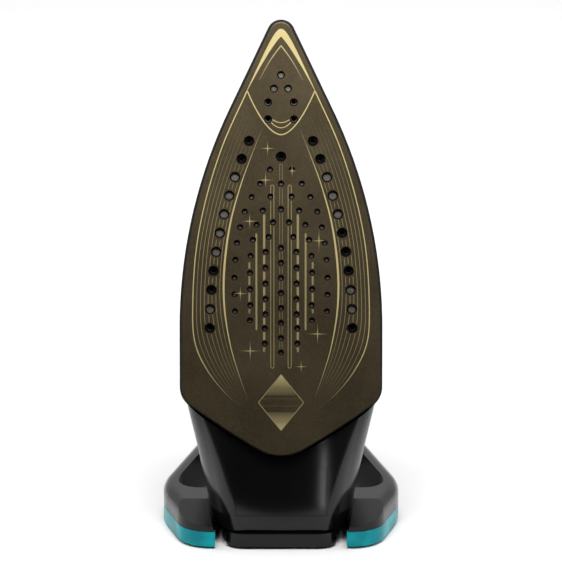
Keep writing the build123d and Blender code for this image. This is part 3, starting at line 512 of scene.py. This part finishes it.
print_borders()
print_nose()
print_slots()
print_stars()
print_rhombus()
grid_piece("gold_print", print_lines, "iron", gold_ink,
           closed=(False, True), smooth=False, ink=print_ink)


# ---------------------------------------------------------------- outlet shade rings
# Flat black rings round the casting's steam outlets, at the bottom of the live holes: painted shade, dark
# sheets that make the live holes read black.
def shade_black(place):
    """Dead black with a dry, grainy skin: the painted shade at the bottom of the live holes."""
    speckle = grain(place, 1500.0, 3.0)
    return {
        "Base_Color": speckle.blend(rgba(5, 5, 5), rgba(14, 13, 12)),
        "Roughness": 0.8 + 0.15 * speckle,
        "Normal": bumps(speckle, 0.4, 0.0001),
    }


def outlet_shade_rings():
    """A flat ring for each live hole: a small rectangle carried round a circle."""
    around = np.linspace(0, 2 * math.pi, 32, endpoint=False)[:, None]
    inner, outer, bottom, top = 1.25, 2.04, 1.96, 1.72
    radius, up = np.array([inner, inner, outer, outer]), np.array([bottom, top, top, bottom])
    live = [*side_holes[[0, 1, 5, 6, 7, 10]], *(side_holes[[0, 1, 7, 8, 10]] * [-1, 1]), middle_hole[0]]
    rings = [on_iron(x + radius * np.cos(around), y + radius * np.sin(around), up) for x, y in live]
    # painted shade: these black rings stand where the live holes are only in shadow
    painted_hole_shade = finish_of("painted_hole_shade", shade_black, Specular_IOR_Level=0.1)
    grid_piece("outlet_shade_rings", rings, "iron", painted_hole_shade, closed=(True, True), smooth=False)


outlet_shade_rings()


# ---------------------------------------------------------------- black mouldings
# Injection-moulded shells: the tail, the ring of the base and the handle's cover are polished
# black, and the skirt, the handle and the hidden plates have a fine spark-eroded texture.
def gloss(place):
    """Polished black: faint flow marks in the surface and a trace of handling haze."""
    haze = grain(place, 22.0, 4.0)
    return {
        "Base_Color": haze.blend(rgba(7, 7, 8), rgba(12, 12, 13)),
        "Roughness": 0.13 + 0.10 * haze,
        "Normal": bumps(grain(place, 140.0, 2.0), 0.12, 0.0002),
    }


def satin(place):
    """Textured black: fine leathery pits, a little lighter on their tops."""
    pits = grain(place, 2300.0, 2.0, 0.6)
    return {
        "Base_Color": pits.within(0.35, 0.75).blend(rgba(14, 14, 15), rgba(27, 27, 28)),
        "Roughness": 0.46 + 0.18 * pits,
        "Normal": bumps(pits, 0.35, 0.00008),
    }


BELLY = 8.0


def bowed(place):
    """Polished black whose broad rear face bellies out: its height falls as BELLY times x squared."""
    x = place.node("SeparateXYZ", {}, {0: place}, 0)
    belly = place.node("Bump", {}, {"Height": x * x * -BELLY, "Strength": 1.0, "Distance": 1.0})
    haze = grain(place, 22.0, 4.0)
    fine = {"Height": grain(place, 140.0, 2.0), "Strength": 0.1, "Distance": 0.0002, "Normal": belly}
    return {
        "Base_Color": haze.blend(rgba(11, 11, 12), rgba(17, 17, 18)),
        "Roughness": 0.13 + 0.10 * haze,
        "Normal": place.node("Bump", {}, fine),
    }


black_gloss = finish_of("black_gloss", gloss, Specular_IOR_Level=0.28)
bowed_gloss = finish_of("bowed_gloss", bowed, Specular_IOR_Level=0.32)
black_satin = finish_of("black_satin", satin, Specular_IOR_Level=0.35)
dress(black_gloss, "base_shell", "handle_cover")
dress(bowed_gloss, "heel_shell", "heel_panel")
dress(black_satin, "skirt", "handle_body", "base_bottom", "contact_socket", "contact_plinth", "cord_gland",
      "temperature_dial", "dial_spindle")


# ---------------------------------------------------------------- dial marks
# White scale lines and a pointer, pad-printed on the temperature dial's top.
def chalk(place):
    """White printing ink with a slight mottle."""
    mottle = grain(place, 1800.0, 2.0)
    return {
        "Base_Color": mottle.blend(rgba(205, 205, 202), rgba(240, 240, 238)),
        "Roughness": 0.5 + 0.2 * mottle,
    }


def dial_marks():
    """Radial bars: a rectangle carried outward between two radii, wider at the pointer."""
    bars, middle, rim, under, top = [], 146.0, 15.6, 71.80, 71.91
    for turn in np.radians(np.arange(-120, 121, 20)):
        start, width = (5.0, 1.6) if abs(turn) < 0.01 else (12.6, 0.7)
        along = np.array([start, start, rim, rim])[:, None]
        side = np.array([0.0, 1.0, 1.0, 0.0])[:, None] * width / 2 * np.array([-1, -1, 1, 1])
        up = np.array([under, top, top, under])
        x = side * math.cos(turn) + along * math.sin(turn)
        back = along * math.cos(turn) - side * math.sin(turn)
        bars.append(on_iron(x, middle - back, up))
    dial_ink = finish_of("dial_ink", chalk)
    grid_piece("dial_marks", bars, "dial", dial_ink, closed=(False, True), smooth=False)


dial_marks()


# ---------------------------------------------------------------- turquoise trim
# Satin end caps of the base, the two keys and the steam lever, moulded in a pearly turquoise.
def pearl(place):
    """Turquoise with a pearl shimmer and a fine satin grain."""
    flow = grain(place, 60.0, 3.0)
    fine = grain(place, 3000.0, 1.0)
    return {
        "Base_Color": flow.within(0.3, 0.7).blend(rgba(0, 118, 127), rgba(2, 162, 171)),
        "Roughness": 0.26 + 0.10 * fine,
        "Normal": bumps(fine, 0.2, 0.00004),
    }


turquoise = finish_of("turquoise", pearl, Metallic=0.3, Specular_IOR_Level=0.22)
dress(turquoise, "accent_left", "accent_right", "spray_button", "boost_button", "steam_lever")


# ---------------------------------------------------------------- water tank
# Blow-moulded smoky turquoise tank, its filler door and the hinge lugs.
def tinted(place):
    """Tinted clear plastic: slight waviness and a soft band of haze."""
    wave = grain(place, 45.0, 2.0)
    return {
        "Base_Color": wave.blend(rgba(8, 120, 134), rgba(16, 148, 160)),
        "Roughness": 0.10 + 0.08 * wave,
        "Normal": bumps(wave, 0.15, 0.0004),
    }


tank_tint = finish_of("tank_tint", tinted, Transmission_Weight=0.65, IOR=1.45)
door_tint = finish_of("door_tint", tinted, Specular_IOR_Level=0.5)
dress(tank_tint, "water_tank")
dress(door_tint, "filler_door", "filler_lugs")


# ---------------------------------------------------------------- working parts
# Cast, turned, drawn and moulded pieces inside the iron and the base.
def cast(place):
    """Sand-grey cast metal with a coarse skin."""
    skin = grain(place, 700.0, 4.0, 0.65)
    return {
        "Base_Color": skin.blend(rgba(96, 92, 86), rgba(150, 145, 138)),
        "Roughness": 0.38 + 0.25 * skin,
        "Normal": bumps(skin, 0.5, 0.0002),
    }


def drawn(place):
    """Bright metal with fine drawing marks along its length."""
    marks = place.node("Mapping", {}, {0: place, 3: (1.0, 1.0, 0.05)})
    marks = grain(marks, 5200.0, 2.0)
    return {
        "Base_Color": marks.blend(rgba(150, 150, 152), rgba(212, 212, 214)),
        "Roughness": 0.22 + 0.2 * marks,
        "Normal": bumps(marks, 0.2, 0.00004),
    }


def turned(place):
    """Yellow brass with fine turning rings."""
    rings = grain(place, 3600.0, 2.0)
    return {
        "Base_Color": rings.blend(rgba(176, 138, 66), rgba(224, 190, 112)),
        "Roughness": 0.2 + 0.2 * rings,
        "Normal": bumps(rings, 0.2, 0.00004),
    }


def natural(place):
    """Unpigmented moulding: milky, with soft shading where it is thick."""
    cloud = grain(place, 160.0, 3.0)
    return {
        "Base_Color": cloud.blend(rgba(196, 194, 186), rgba(226, 224, 217)),
        "Roughness": 0.38 + 0.15 * cloud,
        "Normal": bumps(grain(place, 1500.0), 0.2, 0.00008),
    }


def rubbery(place):
    """Soft black rubber with a dry bloom."""
    bloom = grain(place, 900.0, 3.0, 0.6)
    return {
        "Base_Color": bloom.blend(rgba(20, 20, 21), rgba(42, 42, 43)),
        "Roughness": 0.68 + 0.2 * bloom,
        "Normal": bumps(bloom, 0.4, 0.00012),
    }


RIB_PITCH = 0.005


def ribbed(place):
    """Soft rubber grip with fine ribs across it: a sine wave along the iron."""
    bloom = grain(place, 900.0, 3.0, 0.6)
    nose_way = tuple(to_nose.tolist())
    run = place.node("VectorMath", {"operation": "DOT_PRODUCT"}, {0: place, 1: nose_way}, 1)
    angle = run * (2 * math.pi / RIB_PITCH)
    ribs = angle.maths("SINE", angle)
    return {
        "Base_Color": (0.5 * bloom + 0.25 * (ribs + 1)).blend(rgba(14, 14, 15), rgba(40, 40, 41)),
        "Roughness": 0.66 + 0.2 * bloom,
        "Normal": bumps(ribs + 0.1 * bloom, 0.7, 0.0004),
    }


def red_seal(place):
    """Red silicone with a slight dusting."""
    dust = grain(place, 500.0, 3.0)
    return {
        "Base_Color": dust.blend(rgba(150, 44, 28), rgba(178, 66, 46)),
        "Roughness": 0.5 + 0.2 * dust,
        "Normal": bumps(dust, 0.3, 0.0001),
    }


def resin(place):
    """Green solder resist over the faint weave of glass cloth."""
    weave = place.node("TexBrick", {}, {0: place, "Scale": 900.0}, 1)
    return {
        "Base_Color": weave.blend(rgba(16, 74, 40), rgba(26, 98, 54)),
        "Roughness": 0.3 + 0.15 * grain(place, 300.0),
        "Normal": bumps(weave, 0.2, 0.00005),
    }


def lens_glow(place):
    """Amber lens, deeper in colour where it is thicker."""
    depth = grain(place, 260.0)
    return {
        "Base_Color": depth.blend(rgba(226, 120, 26), rgba(246, 164, 60)),
        "Roughness": 0.08 + 0.08 * depth,
    }


cast_metal = finish_of("cast_metal", cast, Metallic=0.9)
drawn_steel = finish_of("drawn_steel", drawn, Metallic=1.0)
turned_brass = finish_of("turned_brass", turned, Metallic=1.0)
natural_plastic = finish_of("natural_plastic", natural)
soft_rubber = finish_of("soft_rubber", rubbery, Specular_IOR_Level=0.3)
red_silicone = finish_of("red_silicone", red_seal, Specular_IOR_Level=0.35)
green_board = finish_of("green_board", resin)
amber_lens = finish_of("amber_lens", lens_glow, Transmission_Weight=0.5)
dress(cast_metal, "heater_casting", "chamber_cover", "thermostat")
dress(drawn_steel, "heating_element", "cover_screws", "handle_screws", "base_screws", "filler_pin")
dress(turned_brass, "valve_seat", "valve_needle", "iron_contacts", "contact_blades")
dress(natural_plastic, "spray_pump", "boost_pump", "spray_piston", "boost_piston", "spray_nozzle",
      "thermal_fuse")
dress(soft_rubber, "base_feet", "rest_pads")
dress(finish_of("ribbed_rubber", ribbed, Specular_IOR_Level=0.3), "grip_pad")
dress(red_silicone, "chamber_gasket")
dress(green_board, "control_board", "base_board")
dress(amber_lens, "indicator_lens")

# ---------------------------------------------------------------- key springs
# Music-wire compression springs under the two keys, which close up as a key goes down; here they are drawn
# at rest.
SPRING_SEAT = 100.0


def key_spring(node, along):
    """A round wire carried along a helix of radius coil_radius, climbing rise in each turn. Both ends
    are closed to a point, and the wire starts its own radius above the seat."""
    thick, coil_radius, rise, turns, steps = 0.5, 4.4, 2.3, 5, 161
    turn = np.linspace(0, turns * 2 * math.pi, steps)[:, None]
    section = np.linspace(0, 2 * math.pi, 10, endpoint=False)
    wire = np.full((steps, 1), thick)
    wire[[0, -1]] = 0.0
    reach = coil_radius + wire * np.cos(section)
    up = SPRING_SEAT + thick + rise * turn / (2 * math.pi) + wire * np.sin(section)
    coil = on_iron(reach * np.cos(turn), along + reach * np.sin(turn), up)
    name = node + "_wire"
    piece = grid_piece(name, [coil], "iron", drawn_steel, closed=(False, True))
    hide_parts(node)
    axis, anchor = -off_face, on_iron(0.0, along, SPRING_SEAT)
    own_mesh(piece)


key_spring("spray_spring", 77.0)
key_spring("boost_spring", 94.0)
